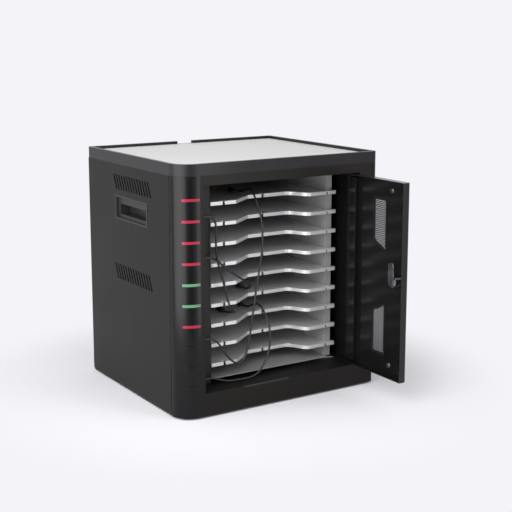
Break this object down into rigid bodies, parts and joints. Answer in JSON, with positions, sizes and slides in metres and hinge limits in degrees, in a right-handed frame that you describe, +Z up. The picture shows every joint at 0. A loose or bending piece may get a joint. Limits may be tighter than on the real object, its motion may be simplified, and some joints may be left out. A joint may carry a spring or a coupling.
{
  "type": "device charging cabinet",
  "caption": "Sheet-metal cabinet with a rack of shelves for charging tablets, a lockable door that parks half inside the case, corner status lights and a raised-rim top.",
  "frame": {"origin": "centre of the base plate's underside, midway between the four bolt-down holes; the rubber feet reach 3 mm below it", "axes": "+X to the right seen from the front, +Y from the front towards the rear, +Z up"},
  "size_m": [0.3872, 0.471, 0.413],
  "materials": {
    "black_sheet": "satin powder coat",
    "black_gloss": "glossy moulded",
    "black_plastic": "fine grain",
    "pale_top": "fine grain",
    "rack_grey": "satin",
    "shelf_white": "satin",
    "lens_red": "lit red diffuser",
    "lens_green": "lit green diffuser",
    "lens_dark": "unlit diffuser",
    "circuit_board": "solder mask",
    "plain_steel": "plain",
    "lock_chrome": "plated",
    "bush_brass": "turned",
    "foot_rubber": "matte",
    "cable_jacket": "satin jacket",
    "plug_plastic": "moulded"
  },
  "bodies": {
    "case": {"base_plate": "black_sheet", "rubber_feet": "foot_rubber", "deck_plate": "black_sheet", "roof_plate": "black_sheet", "front_frame": "black_sheet", "left_corner_post": "black_gloss", "right_corner_post": "black_gloss", "light_bars_red": "lens_red", "light_bars_green": "lens_green", "light_bars_unlit": "lens_dark", "light_board": "circuit_board", "left_side_panel": "black_sheet", "left_handle_cup": "black_plastic", "right_side_panel": "black_sheet", "right_handle_cup": "black_plastic", "rear_panel": "black_sheet", "rear_screws": "plain_steel", "power_inlet": "black_plastic", "top_cap": "black_plastic", "top_panel": "pale_top", "partition": "black_sheet", "port_panel": "black_sheet", "usb_ports": "plain_steel", "charge_board": "circuit_board", "power_supply": "plain_steel", "rack_frame": "rack_grey", "rack_base": "rack_grey", "pivot_pins": "plain_steel", "shelf_1": "shelf_white", "shelf_2": "shelf_white", "shelf_3": "shelf_white", "shelf_4": "shelf_white", "shelf_5": "shelf_white", "shelf_6": "shelf_white", "shelf_7": "shelf_white", "shelf_8": "shelf_white", "shelf_9": "shelf_white", "cable_1": "cable_jacket", "cable_1_plug": "plug_plastic", "cable_1_connector": "plug_plastic", "cable_2": "cable_jacket", "cable_2_plug": "plug_plastic", "cable_2_connector": "plug_plastic", "cable_3": "cable_jacket", "cable_3_plug": "plug_plastic", "cable_3_connector": "plug_plastic", "cable_4": "cable_jacket", "cable_4_plug": "plug_plastic", "cable_4_connector": "plug_plastic"},
    "door": {"door_leaf": "black_sheet", "door_grilles": "black_sheet", "door_stiffener": "black_sheet", "door_studs": "plain_steel", "pivot_arm_top": "plain_steel", "pivot_arm_bottom": "plain_steel", "pivot_bushes": "bush_brass", "lock_body": "lock_chrome"},
    "lock": {"lock_plug": "lock_chrome", "lock_cam": "lock_chrome"},
    "rocker": {"switch_rocker": "black_plastic"}
  },
  "joints": [
    {"name": "door_swing", "type": "hinge", "parent": "case", "child": "door", "pos_m": [0.07125, -0.08375, 0], "axis": [0, 0, -1], "range_deg": [0, 90]},
    {"name": "lock_turn", "type": "hinge", "parent": "door", "child": "lock", "pos_m": [0.1545, -0.278, 0.2075], "axis": [1, 0, 0], "range_deg": [0, 90]},
    {"name": "switch_rock", "type": "hinge", "parent": "case", "child": "rocker", "pos_m": [-0.146, 0.1621, 0.108], "axis": [-1, 0, 0], "range_deg": [0, 20]}
  ]
}
